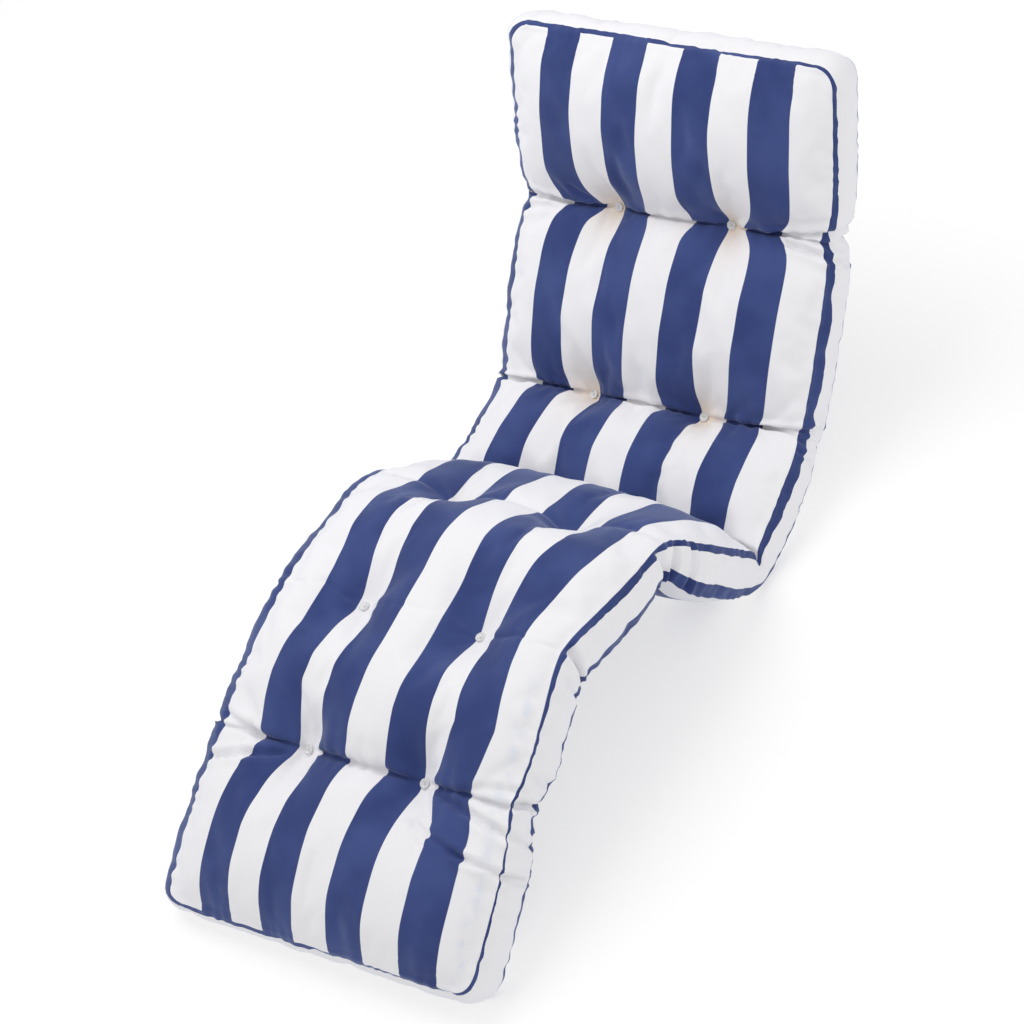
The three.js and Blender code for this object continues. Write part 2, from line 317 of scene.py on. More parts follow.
class Shell:
    """The case's mesh while it is built: points with their place on the flat cloth, and faces."""

    def __init__(self):
        self.points, self.cloth, self.levels = [], [], []
        self.faces, self.uvs, self.slots = [], [], []

    def add(self, block, cloth, level):
        """Adds a block of points and gives their numbers, laid out as the block is."""
        start = sum(len(part) for part in self.points)
        flat = block.reshape(-1, 3)
        self.points.append(flat)
        self.cloth.append(cloth.reshape(-1, 2))
        self.levels.append(np.full(len(flat), level, float))
        return start + np.arange(len(flat)).reshape(block.shape[:-1])

    def polygon(self, ids, uvs, slot):
        self.faces.append([int(i) for i in ids])
        self.uvs.extend(uvs)
        self.slots.append(slot)

    def make(self, name):
        """The finished object, moved along to where the fold lies in the frame."""
        points = np.concatenate(self.points)
        points[:, 1] += FOLD_Y
        mesh = bpy.data.meshes.new(name)
        mesh.from_pydata(points.tolist(), [], self.faces)
        mesh.polygons.foreach_set("material_index", np.array(self.slots, np.int32))
        mesh.uv_layers.new(name="cloth").data.foreach_set("uv", np.array(self.uvs, np.float32).ravel())
        cloth = np.concatenate(self.cloth)
        write_layer(mesh, "across", cloth[:, 0])
        write_layer(mesh, "along", cloth[:, 1])
        write_layer(mesh, "level", np.concatenate(self.levels))
        made = bpy.data.objects.new(name, mesh)
        bpy.context.scene.collection.objects.link(made)
        return made


def add_faces(shell, x, stations):
    """Adds the face, and the back with half as many cells across. Gives both grids of point numbers."""
    rows, columns = x.shape
    coarse = np.arange(0, columns, 2)
    flat_x = x / side_at(stations) * HALF_WIDEST
    height = front_seam_at(x, stations) + face_swell(x, stations)
    face = shell.add(place(face_x(x, stations), stations, height), np.stack([flat_x, stations], -1), 0.0)
    back_x, back_s, back_flat = x[:, coarse], stations[:, coarse], flat_x[:, coarse]
    depth = -rear_seam_at(back_s) - back_swell(back_x, back_s)
    back = shell.add(place(back_x, back_s, depth), np.stack([back_flat, back_s], -1), 1.0)
    for i in range(rows - 1):
        for j in range(columns - 1):
            corners = ((i, j), (i + 1, j), (i + 1, j + 1), (i, j + 1))
            uvs = [(flat_x[c], stations[c]) for c in corners]
            shell.polygon([face[c] for c in corners], uvs, FACE_SLOT)
        for j in range(len(coarse) - 1):
            corners = ((i, j), (i, j + 1), (i + 1, j + 1), (i + 1, j))
            uvs = [(back_flat[c], back_s[c]) for c in corners]
            shell.polygon([back[c] for c in corners], uvs, BACK_SLOT)
    return face, back


def border_of(rows, columns):
    """The outermost places of a grid, once round from its first corner."""
    loop = [(0, j) for j in range(columns - 1)]
    loop += [(i, columns - 1) for i in range(rows - 1)]
    loop += [(rows - 1, j) for j in range(columns - 1, 0, -1)]
    return loop + [(i, 0) for i in range(rows - 1, 0, -1)]


def outward_of(x, s):
    """The direction across and along that points out of the closed line, at each of its points."""
    ahead = np.stack([np.roll(x, -1) - np.roll(x, 1), np.roll(s, -1) - np.roll(s, 1)], -1)
    outward = np.stack([ahead[:, 1], -ahead[:, 0]], -1)
    return outward / np.linalg.norm(outward, axis=1)[:, None]


def boxing_rings(shell, x, s):
    """Adds the rings of points between the front and the rear seam, bulged out, and gives their numbers."""
    outward = outward_of(x, s)
    left_bulge = BOX_BULGE["left"] + np.maximum(left_shift_at(s), 0) / 2 + FLARE_BOXING * flare_at(s)
    bulge = np.where(x > 0, BOX_BULGE["right"], left_bulge)
    bulge = bulge + (END_BULGE - bulge) * outward[:, 1] ** 2
    fullest = np.where(x > 0, 1, LEFT_FULLEST)
    cloth = np.stack([x / side_at(s) * HALF_WIDEST, s], -1)
    rings = []
    for level in BOX_LEVELS[1:-1]:
        out = bulge * np.sin(math.pi * level**fullest) ** BULGE_ROUND
        height = front_seam_at(x, s) * (1 - level) - rear_seam_at(s) * level
        rolled = x + (face_x(x, s) - x) * (1 - level) ** 2
        ring = place(rolled + outward[:, 0] * out, s + outward[:, 1] * out, height)
        rings.append(shell.add(ring, cloth, level))
    return rings


def add_boxing(shell, x, stations, face, back):
    """Adds the boxing strip all round, sewn to the border of the face and to the coarser one of the back."""
    loop = border_of(*x.shape)
    index = tuple(np.array(loop).T)
    edge_x, edge_s = x[index], stations[index]
    rear = [back[i, j // 2] if j % 2 == 0 else None for i, j in loop]
    rings = [face[index], *boxing_rings(shell, edge_x, edge_s), rear]
    starts = np.concatenate([[0], np.cumsum(np.hypot(np.diff(edge_x), np.diff(edge_s)))])
    closing = math.hypot(edge_x[0] - edge_x[-1], edge_s[0] - edge_s[-1])
    ends = np.append(starts[1:], starts[-1] + closing)
    levels = [level * BOX_HEIGHT for level in BOX_LEVELS]
    count = len(loop)
    for k in range(count):
        k2, k3 = (k + 1) % count, (k + 2) % count
        near, far = starts[k], ends[k]
        for n in range(len(rings) - 1):
            upper, lower = rings[n], rings[n + 1]
            up, down = levels[n], levels[n + 1]
            if lower[k] is None:
                continue
            if lower[k2] is None:
                end = far + (far - near)
                uvs = [(near, up), (far, up), (end, up), (end, down), (near, down)]
                ids = [upper[k], upper[k2], upper[k3], lower[k3], lower[k]]
            else:
                uvs = [(near, up), (far, up), (far, down), (near, down)]
                ids = [upper[k], upper[k2], lower[k2], lower[k]]
            shell.polygon(ids, uvs, BOXING_SLOT)


def make_case():
    """The case as one closed mesh, not yet filled, and the point numbers of its face and of its back."""
    share = np.linspace(-1, 1, ACROSS_CELLS + 1)
    edge = np.sign(share) * (1 - (1 - np.abs(share)) ** CLOSER_AT_SIDES)
    shares, stations = np.meshgrid(edge, stations_along())
    x = shares * half_width_at(stations)
    shell = Shell()
    face, back = add_faces(shell, x, stations)
    add_boxing(shell, x, stations, face, back)
    return shell.make("cushion_case"), face, back


def tuft_distance(x, s, rows=range(len(ROWS))):
    nearest = np.full_like(x, 1.0)
    for i in rows:
        for tuft_x in TUFT_X.values():
            nearest = np.minimum(nearest, np.hypot(x - tuft_x, s - SEAMS[i + 1]))
    return nearest


# Filling the case: frames of simulation, air pressure and spare cloth
FRAMES = 20
PRESSURE = 4
SPARE_CLOTH = 0.04

# The cloth while it is filled: care of the simulation, weight of a point and how stiff the cloth is
FILLING_CLOTH = {"quality": 6, "mass": 0.2, "tension_stiffness": 14, "compression_stiffness": 14,
                 "shear_stiffness": 5, "bending_stiffness": 0.25}

# What is held still meanwhile: points this near the seams, the tufts and the rows that keep less than
# that share of the crown, and points lower over the floor than this
HELD_AT_SEAM = 0.0005
HELD_AT_TUFT = 0.016
HELD_AT_ROW = 0.006
HARD_KEEP = 0.5
HELD_BELOW = 0.0008

# The furthest that a point may end from where it started, how far from the seams and from the fold that
# grows to its full size, half the length at the fold that stays as it is, and how much of the broad part
# of the movement is taken back, averaged over that many cells each way
FURTHEST = 0.014
FREE_FROM_SEAM = 0.05
FREE_FROM_FOLD = 0.09
FOLD_STILL = 0.01
SMOOTHED_OUT = 0.6
SMOOTHING_CELLS = 5


def blur(block, cells):
    """The block averaged over that many cells each way along both sides of its grid."""
    for side in (0, 1):
        spread = [(cells, cells) if k == side else (0, 0) for k in range(block.ndim)]
        total = np.cumsum(np.pad(block, spread, "edge"), axis=side)
        start = np.take(total, range(0, block.shape[side]), axis=side)
        end = np.take(total, range(2 * cells, 2 * cells + block.shape[side]), axis=side)
        block = (end - start) / (2 * cells)
    return block


def held_points(height, x, along, level, from_edge):
    """True for the points on the seams, at the tufts, in the hard channels and on the floor."""
    on_face = (level == 0) | (level == 1)
    hard = [SEAMS[i + 1] for i, row in enumerate(ROWS) if row["keep"] < HARD_KEEP]
    from_row = np.min([np.abs(along - seam) for seam in hard], axis=0)
    on_seam = from_edge < HELD_AT_SEAM
    at_tuft = tuft_distance(x, along) < HELD_AT_TUFT
    return on_face & (on_seam | at_tuft | (from_row < HELD_AT_ROW)) | (height < HELD_BELOW)


def inflated(case, held):
    """The case's points after a moment under air pressure."""
    case.vertex_groups.new(name="held").add(np.flatnonzero(held).tolist(), 1.0, "REPLACE")
    modifier = case.modifiers.new("filling", "CLOTH")
    settings = modifier.settings
    for name, value in FILLING_CLOTH.items():
        setattr(settings, name, value)
    settings.use_pressure = True
    settings.uniform_pressure_force = PRESSURE
    settings.shrink_min = -SPARE_CLOTH
    settings.vertex_group_mass = "held"
    settings.effector_weights.gravity = 0
    modifier.collision_settings.use_collision = False
    modifier.point_cache.frame_start = 1
    modifier.point_cache.frame_end = FRAMES
    scene = bpy.context.scene
    for number in range(1, FRAMES + 1):
        scene.frame_set(number)
    evaluated = case.evaluated_get(bpy.context.evaluated_depsgraph_get())
    points = read(evaluated.data.vertices, "co", 3)
    case.modifiers.remove(modifier)
    scene.frame_set(1)
    return points


def fill(case, face_grid, back_grid):
    """Blows the case up for a moment, so that its cloth bulges and wrinkles between seams and tufts."""
    mesh = case.data
    start = read(mesh.vertices, "co", 3)
    across, along, level = read_places(mesh)
    x = across / HALF_WIDEST * side_at(along)
    from_edge = np.minimum(half_width_at(along) - np.abs(x), np.minimum(along, TOTAL - along))
    held = held_points(start[:, 2], x, along, level, from_edge)
    move = inflated(case, held) - start
    for grid in (face_grid, back_grid):
        move[grid] -= SMOOTHED_OUT * blur(move[grid], SMOOTHING_CELLS)
    far = np.linalg.norm(move, axis=1)
    on_boxing = (level > 0) & (level < 1)
    limit = np.where(on_boxing, FURTHEST / 2, FURTHEST * smooth(from_edge / FREE_FROM_SEAM))
    limit *= smooth((np.abs(along - SEAMS[FOLD_ROW]) - FOLD_STILL) / FREE_FROM_FOLD)
    move *= (limit * np.tanh(far / np.maximum(limit, 1e-6)) / np.maximum(far, 1e-9))[:, None]
    write_points(mesh, start + move)


def refine(case):
    """Splits every cell of the case once, rounding it, and gives the finer mesh."""
    modifier = case.modifiers.new("finer", "SUBSURF")
    modifier.levels = 1
    modifier.render_levels = 1
    fine = bpy.data.meshes.new_from_object(case.evaluated_get(bpy.context.evaluated_depsgraph_get()))
    case.modifiers.clear()
    case.data = fine
    return fine


# Cloth drawn in beside the tufts of each row: on the outer and inner side of the left and of the right
# tuft, and how far that reaches up and down the cloth. Then the width of the folds that hide it, how far
# across it is felt, and how far in from the sides the stripes' drift grows to its full size
PLEATS = table(
    ("name", "left_outer", "left_inner", "right_inner", "right_outer", "up", "down"),
    ("R1", 0.020, 0.018, 0.020, 0.018, 0.034, 0.028),
    ("R2", 0.010, 0.008, 0.010, 0.008, 0.030, 0.022),
    ("R3", 0.004, 0.004, 0.004, 0.004, 0.030, 0.030),
    ("R4", 0.012, 0.004, 0.012, 0.010, 0.050, 0.150),
    ("R5", 0.014, 0.003, 0.014, 0.028, 0.150, 0.150),
    ("R6", 0.014, 0.003, 0.012, 0.028, 0.110, 0.035),
)
PLEAT_WIDTH = 0.010
PLEAT_FADE = 0.130
DRIFT_FADE = 0.050

# Gathers along each row: height of the gathers and how far they reach from the channel
GATHERS = {"R1": (0.0020, 0.030), "R2": (0.0020, 0.030), "R3": (0.0010, 0.030),
           "R4": (0.0006, 0.030), "R5": (0.0006, 0.030), "R6": (0.0020, 0.028)}
GATHER_LENGTH = 0.031

# The same gathers on the boxing: share of their height, reach, length and slant
BOXING_GATHER = 1.2
BOXING_GATHER_REACH = 0.05
BOXING_GATHER_LENGTH = 0.026
BOXING_GATHER_SLANT = 0.4

# Depth and half width of the sewn line in each hard channel, and the lip that the panel above folds over it
GROOVE = {"R1": 0.0055, "R2": 0.0050, "R6": 0.0045}
GROOVE_WIDTH = 0.0035
LIP = 0.0030
LIP_WIDTH = 0.010

# Seams: height, place and width of the ridge and of the hollow beside it
SEAM_RIDGE = (0.0012, 0.0, 0.003)
SEAM_HOLLOW = (-0.0010, 0.008, 0.005)

# Uneven pull along the side seams and the end seams: height, reach, length, slant on the boxing and, for
# the sides, the reach over the face
SIDE_PULL = {"left": 0.0022, "right": 0.0012}
SIDE_PULL_REACH = 0.02
SIDE_PULL_LENGTH = 0.027
SIDE_PULL_SLANT = 0.3
SIDE_PULL_OVER_FACE = 0.016
END_PULL = 0.0009
END_PULL_REACH = 0.018
END_PULL_LENGTH = 0.024

# Small creases that run out from each tuft like a star: least number, sway, height and reach, how far
# from the tuft they start, and the bare circle at the tuft itself
STAR_CREASES = 9
STAR_SWAY = 0.8
STAR_HEIGHT = 0.0016
STAR_REACH = 0.030
STAR_START = 0.016
BARE_CIRCLE = 0.014

# Broad unevenness of the whole cloth
UNEVENNESS = 0.0006

# Where each uneven wave starts: gathers add the number of their row
WAVE_STARTS = {"sides": 1.0, "ends": 2.0, "gathers": 3.0, "front edge": 4.0, "boxing gathers": 5.0,
               "rear edge": 6.0}

# How uneven the waves are. Each sway of their length has a strength, the lengths that it takes and what
# its start is multiplied by. Their height sways in the same way on top of a part that stays even
LENGTH_SWAYS = ((0.9, 7.3, 1.0), (0.7, 4.1, 2.3))
LENGTH_SWAY = 2.2
HEIGHT_SWAY = (0.38, 5.7, 1.7)
EVEN_HEIGHT = 0.62

# Single creases: where they lie, from and to (out from the middle or down the side, then along), their
# depth and their width
CREASES = table(
    ("part", "x0", "s0", "x1", "s1", "depth", "width"),
    ("face", 0.190, 0.291, 0.310, 0.276, 0.009, 0.006),
    ("right", -0.02, 0.282, 0.070, 0.270, 0.009, 0.006),
    ("face", 0.225, 0.310, 0.310, 0.328, 0.008, 0.006),
    ("right", -0.02, 0.325, 0.060, 0.336, 0.005, 0.005),
    ("face", 0.245, 0.255, 0.310, 0.247, 0.002, 0.005),
    ("face", -0.200, 0.292, -0.310, 0.284, 0.006, 0.007),
    ("face", -0.150, 0.280, -0.190, 0.250, 0.003, 0.006),
    ("face", -0.235, 0.312, -0.310, 0.326, 0.004, 0.006),
    ("face", 0.220, 0.622, 0.310, 0.612, 0.008, 0.006),
    ("right", -0.02, 0.616, 0.060, 0.600, 0.006, 0.006),
    ("right", -0.02, 0.650, 0.050, 0.662, 0.004, 0.005),
    ("face", -0.220, 0.622, -0.310, 0.634, 0.005, 0.006),
    ("face", 0.125, 1.656, 0.240, 1.694, 0.0065, 0.005),
    ("face", 0.205, 1.686, 0.300, 1.700, 0.0055, 0.005),
    ("right", -0.02, 1.702, 0.060, 1.700, 0.007, 0.005),
    ("face", 0.150, 1.612, 0.300, 1.648, 0.008, 0.006),
    ("face", 0.130, 1.625, 0.165, 1.660, 0.004, 0.005),
    ("face", -0.140, 1.618, -0.290, 1.656, 0.008, 0.006),
    ("face", -0.200, 1.604, -0.300, 1.588, 0.007, 0.006),
    ("face", 0.200, 1.596, 0.300, 1.580, 0.004, 0.006),
    ("right", -0.02, 1.604, 0.075, 1.590, 0.010, 0.006),
    ("right", -0.02, 1.640, 0.075, 1.655, 0.006, 0.006),
    ("right", 0.020, 1.560, 0.080, 1.552, 0.005, 0.006),
    ("right", 0.000, 1.372, 0.080, 1.384, 0.010, 0.006),
    ("right", 0.020, 1.410, 0.080, 1.418, 0.005, 0.006),
    ("right", -0.02, 1.160, 0.080, 1.150, 0.009, 0.006),
    ("right", -0.02, 1.120, 0.080, 1.128, 0.009, 0.006),
    ("right", 0.000, 1.090, 0.080, 1.078, 0.008, 0.006),
    ("left", -0.02, 1.604, 0.075, 1.590, 0.006, 0.006),
    ("left", -0.02, 0.290, 0.060, 0.280, 0.006, 0.006),
    ("left", -0.02, 0.622, 0.060, 0.632, 0.006, 0.006),
)

# A crease rises and dies away over this part of its length, and has a lip on both sides: share of its
# depth and place in widths of the crease
CREASE_END = 0.2
CREASE_LIP = 0.5
CREASE_LIP_PLACE = 1.8


def ridge(distance, height, place, width):
    return height * np.exp(-(((distance - place) / width) ** 2))


def sway(t, length, start, strength, lengths, turn):
    return strength * np.sin(2 * np.pi * t / (length * lengths) + turn * start)


def waves(t, length, start):
    """An uneven wave along t, the same each time, with about that length."""
    drift = sum(sway(t, length, start, *row) for row in LENGTH_SWAYS)
    height = EVEN_HEIGHT + sway(t, length, start, *HEIGHT_SWAY)
    return np.sin(2 * np.pi * t / length + LENGTH_SWAY * drift) * height


def seam_relief(x, along, down, boxing):
    """The seams' ridges, and how unevenly the cloth is pulled beside them."""
    to_side = half_width_at(along) - np.abs(x)
    to_end = np.minimum(along, TOTAL - along)
    from_seam = np.where(boxing, np.minimum(down, BOX_HEIGHT - down), np.minimum(to_side, to_end))
    by_side = np.where(boxing, 1.0, np.exp(-to_side / SIDE_PULL_OVER_FACE))
    side_pull = np.where(x < 0, SIDE_PULL["left"], SIDE_PULL["right"]) * by_side
    side_pull *= np.exp(-from_seam / SIDE_PULL_REACH)
    side_pull *= waves(along + SIDE_PULL_SLANT * down, SIDE_PULL_LENGTH, WAVE_STARTS["sides"])
    end_pull = END_PULL * np.exp(-from_seam / END_PULL_REACH) * waves(x, END_PULL_LENGTH, WAVE_STARTS["ends"])
    seam = ridge(from_seam, *SEAM_RIDGE) + ridge(from_seam, *SEAM_HOLLOW)
    return seam + np.where(to_side < to_end, side_pull, end_pull)


def row_relief(i, x, along, down, boxing):
    """The gathers of one row, its sewn line and the lip over it, and the creases round its tufts."""
    name = ROWS[i]["name"]
    height, reach = GATHERS[name]
    below = along - SEAMS[i + 1]
    from_row = np.abs(below)
    fade = np.exp(-((from_row / reach) ** 2)) if ROWS[i]["soft"] else np.exp(-from_row / reach)
    on_face = height * fade * waves(x, GATHER_LENGTH, WAVE_STARTS["gathers"] + i)
    if name in GROOVE:
        on_face += ridge(below, -GROOVE[name], 0, GROOVE_WIDTH) + ridge(below, LIP, -LIP_WIDTH, LIP_WIDTH)
    for k, tuft_x in enumerate(TUFT_X.values()):
        r, angle = np.hypot(x - tuft_x, below), np.arctan2(below, x - tuft_x)
        star = np.sin((STAR_CREASES + (i + k) % 3) * angle + i + STAR_SWAY * np.sin(2 * angle + k))
        on_face += STAR_HEIGHT * star * np.exp(-r / STAR_REACH) * (1 - np.exp(-((r / STAR_START) ** 2)))
    on_boxing = BOXING_GATHER * height * np.exp(-from_row / BOXING_GATHER_REACH)
    start = WAVE_STARTS["boxing gathers"] + i
    on_boxing *= waves(along - BOXING_GATHER_SLANT * down, BOXING_GATHER_LENGTH, start)
    return np.where(boxing, on_boxing, on_face)


def crease_relief(crease, x, along, down, boxing):
    """One single crease with its lips, on the face or down one side's boxing."""
    on_face = crease["part"] == "face"
    here = ~boxing if on_face else boxing & ((x > 0) == (crease["part"] == "right"))
    from_x, from_s = (x if on_face else down) - crease["x0"], along - crease["s0"]
    run_x, run_s = crease["x1"] - crease["x0"], crease["s1"] - crease["s0"]
    length = math.hypot(run_x, run_s)
    share = (from_x * run_x + from_s * run_s) / length**2
    beside = np.abs(from_s * run_x - from_x * run_s) / length
    ends = smooth(share / CREASE_END + 0.5) * smooth((1 - share) / CREASE_END + 0.5)
    width = crease["width"]
    profile = ridge(beside, CREASE_LIP, CREASE_LIP_PLACE * width, width) - ridge(beside, 1, 0, width)
    return here * crease["depth"] * ends * profile


def unevenness(x, along):
    """Slow swellings in three directions, too low to see but for their shading."""
    first = np.sin(2 * np.pi * (x / 0.11 + along / 0.19) + 0.4)
    second = np.sin(2 * np.pi * (along / 0.13 - x / 0.31))
    third = np.sin(2 * np.pi * (x / 0.063 - along / 0.087) + 2.1)
    return UNEVENNESS * (first * second + third)


def relief(across, along, level):
    """How far the cloth stands out at each point: seams, gathers, creases and a gentle unevenness."""
    x = across / HALF_WIDEST * side_at(along)
    down = level * BOX_HEIGHT
    boxing = (level > 0) & (level < 1)
    out = seam_relief(x, along, down, boxing) + unevenness(x, along)
    for i in range(len(ROWS)):
        out += row_relief(i, x, along, down, boxing)
    for crease in CREASES:
        out += crease_relief(crease, x, along, down, boxing)
    bare = np.exp(-((tuft_distance(x, along) / BARE_CIRCLE) ** 2))
    return out * np.where(level == 0, 1 - bare, 1.0)


def gathered(across, along):
    """Where each point lies among the even stripes of the flat cloth, as it is sewn and gathered here."""
    drift = np.interp(along, MIDDLES, [panel["drift"] for panel in PANELS])
    out = across - drift * smooth((HALF_WIDEST - np.abs(across)) / DRIFT_FADE)
    x = across / HALF_WIDEST * side_at(along)
    for side, tuft_x in TUFT_X.items():
        aside = x - tuft_x
        outer = (aside < 0) == (side == "left")
        hidden = np.zeros_like(across)
        for i, pleat in enumerate(PLEATS):
            amount = np.where(outer, pleat[f"{side}_outer"], pleat[f"{side}_inner"])
            reach = np.where(along < SEAMS[i + 1], pleat["up"], pleat["down"])
            hidden = np.maximum(hidden, amount * np.exp(-(((along - SEAMS[i + 1]) / reach) ** 2)))
        out += hidden * np.tanh(aside / PLEAT_WIDTH) * np.exp(-((aside / PLEAT_FADE) ** 4))
    return out


# Width of the blue edge on the boxing, beside the front and rear seams: at each row and mid-panel
EDGES = table(
    ("place", "front_right", "front_left", "rear_right", "rear_left"),
    ("head", 0.007, 0.007, 0.005, 0.004),
    ("P1", 0.009, 0.009, 0.004, 0.004),
    ("R1", 0.014, 0.012, 0.005, 0.004),
    ("P2", 0.022, 0.013, 0.004, 0.004),
    ("R2", 0.022, 0.013, 0.004, 0.004),
    ("P3", 0.020, 0.030, 0.006, 0.004),
    ("R3", 0.012, 0.046, 0.016, 0.004),
    ("P4", 0.010, 0.012, 0.022, 0.006),
    ("R4", 0.012, 0.014, 0.022, 0.006),
    ("P5", 0.012, 0.018, 0.022, 0.006),
    ("R5", 0.0045, 0.018, 0.014, 0.006),
    ("P6", 0.0030, 0.018, 0.010, 0.006),
    ("R6", 0.0025, 0.018, 0.010, 0.006),
    ("P7", 0.0030, 0.018, 0.011, 0.006),
    ("foot", 0.006, 0.010, 0.006, 0.006),
)
EDGE_STATIONS = np.sort(np.concatenate([SEAMS, MIDDLES]))
END_EDGE = 0.006

# How much the blue edge's width strays: amount and length of the long and of the short waves
EDGE_STRAYS = ((0.0010, 0.055), (0.0005, 0.019))

# The seam's hidden blue edge that shows through the white cloth on the right of the legs: distance from
# the side seam, width, the row where it starts and the length over which it grows
SHOWN_SEAM = 0.022
SHOWN_WIDTH = 0.008
SHOWN_FROM_ROW = 5
SHOWN_GROWTH = 0.1

# Painted warm shade between the folds at the tufts of the first two rows, and its reach: a warm tint painted
# into the white where their deep dimples lie in shade
PAINTED_SHADE_ROWS = (0, 1)
PAINTED_SHADE_REACH = 0.028


def edge_width(across, along, seam):
    """Width of the blue edge beside the front or the rear seam."""
    right, left = (np.interp(along, EDGE_STATIONS, [edge[f"{seam}_{side}"] for edge in EDGES])
                   for side in ("right", "left"))
    side = np.where(across > 0, right, left)
    blend = smooth(np.minimum(along, TOTAL - along) / CORNER_RADIUS)
    start = WAVE_STARTS[f"{seam} edge"]
    (far, long_wave), (near, short_wave) = EDGE_STRAYS
    strays = far * waves(along + across, long_wave, start) + near * waves(along - across, short_wave, start)
    return END_EDGE + (side - END_EDGE) * blend + strays


def shape_case():
    """The filled and wrinkled case, with the layers that its cloth's colours are read from."""
    case, face_grid, back_grid = make_case()
    fill(case, face_grid, back_grid)
    mesh = refine(case)
    across, along, level = read_places(mesh)
    points, normals = read(mesh.vertices, "co", 3), read(mesh.vertex_normals, "vector", 3)
    write_points(mesh, points + normals * relief(across, along, level)[:, None])
    mesh.shade_smooth()
    x = across / HALF_WIDEST * side_at(along)
    write_layer(mesh, "stripe", gathered(across, along))
    write_layer(mesh, "front_edge", edge_width(across, along, "front"))
    write_layer(mesh, "rear_edge", edge_width(across, along, "rear"))
    from_shown = half_width_at(along) - x - SHOWN_SEAM
    on_legs = smooth((along - SEAMS[SHOWN_FROM_ROW]) / SHOWN_GROWTH)
    write_layer(mesh, "show_through", np.exp(-((from_shown / SHOWN_WIDTH) ** 2)) * on_legs)
    # Painted warm shade: how much the white is tinted warm in the shaded dimples at the first two rows' tufts
    write_layer(mesh, "tuft_painted_shade", np.exp(-tuft_distance(x, along, PAINTED_SHADE_ROWS) / PAINTED_SHADE_REACH))
    return case


class Nodes:
    """Short calls for building one material's nodes."""

    def __init__(self, name):
        self.material = bpy.data.materials.new(name)
        self.material.use_nodes = True
        self.tree = self.material.node_tree
        self.shader = self.tree.nodes["Principled BSDF"]

    def set(self, socket, value):
        if isinstance(value, bpy.types.NodeSocket):
            self.tree.links.new(value, socket)
        else:
            socket.default_value = value

    def shade(self, values):
        """Gives the shader's own sockets their values, or the output of another node."""
        for name, value in values.items():
            self.set(self.shader.inputs[name], value)

    def add(self, kind, inputs=None, **settings):
        node = self.tree.nodes.new(kind)
        for key, value in settings.items():
            setattr(node, key, value)
        for key, value in (inputs or {}).items():
            self.set(node.inputs[key], value)
        return node

    def maths(self, operation, *values):
        node = self.add("ShaderNodeMath", operation=operation)
        for socket, value in zip(node.inputs, values):
            self.set(socket, value)
        return node.outputs[0]

    def attribute(self, name):
        return self.add("ShaderNodeAttribute", attribute_name=name).outputs["Fac"]

    def cloth(self):
        """The two cloth coordinates in metres."""
        parts = self.add("ShaderNodeSeparateXYZ", {0: self.add("ShaderNodeUVMap", uv_map="cloth").outputs[0]})
        return parts.outputs[0], parts.outputs[1]

    def noise(self, scale, detail, vector=None):
        node = self.add("ShaderNodeTexNoise", {"Scale": scale, "Detail": detail})
        source = vector or self.add("ShaderNodeTexCoord").outputs["Object"]
        self.set(node.inputs["Vector"], source)
        return node.outputs["Fac"]

    def step(self, value, low, high):
        """0 below low and 1 above high, smooth between."""
        inputs = {0: value, 1: low, 2: high}
        return self.add("ShaderNodeMapRange", inputs, interpolation_type="SMOOTHSTEP").outputs[0]

    def mix(self, share, first, second, blend="MIX"):
        inputs = {0: share, 6: first, 7: second}
        return self.add("ShaderNodeMix", inputs, data_type="RGBA", blend_type=blend).outputs[2]


# Colours of the cloth: white, the painted warm shade in the tuft dimples, blue, worn blue and blue shown
# through white
WHITE = (0.795, 0.787, 0.808, 1)
PAINTED_WARM_SHADE = (0.84, 0.66, 0.47, 1)
BLUE = (0.031, 0.049, 0.165, 1)
BLUE_WORN = (0.047, 0.071, 0.215, 1)
SHOWN_BLUE = (0.55, 0.62, 0.74, 1)
PAINTED_SHADE_STRENGTH = 0.95
SHOWN_STRENGTH = 0.40

# Noise in the cloth, as scale and detail: worn patches, what shows through and the stripes' edges
WORN_NOISE = (9, 3)
SHOWN_NOISE = (45, 2)
WANDER_NOISE = (9, 1)

# Thick and thin threads: how closely they lie across and along, and how much they shade the colour
SLUBS_ACROSS = 900.0
SLUBS_ALONG = 90.0
SLUB_GREY = (0.5, 0.5, 0.52, 1)
SLUB_SHADE = 0.10

# Roughness of the cloth, and how much the threads add to it
ROUGHNESS = 0.84
SLUB_ROUGHNESS = 0.12

# The weave that is raised on it: pitch, height of the weave and of the thick threads, strength and depth
THREAD_PITCH = 0.0009
WEAVE_HEIGHT = 0.5
SLUB_HEIGHT = 1.2
WEAVE_STRENGTH = 0.35
WEAVE_DEPTH = 0.0003

# Stripes: how far their edges wander and how soft they are, in stripe widths
STRIPE_WANDER = 0.02
STRIPE_SOFT = 0.008


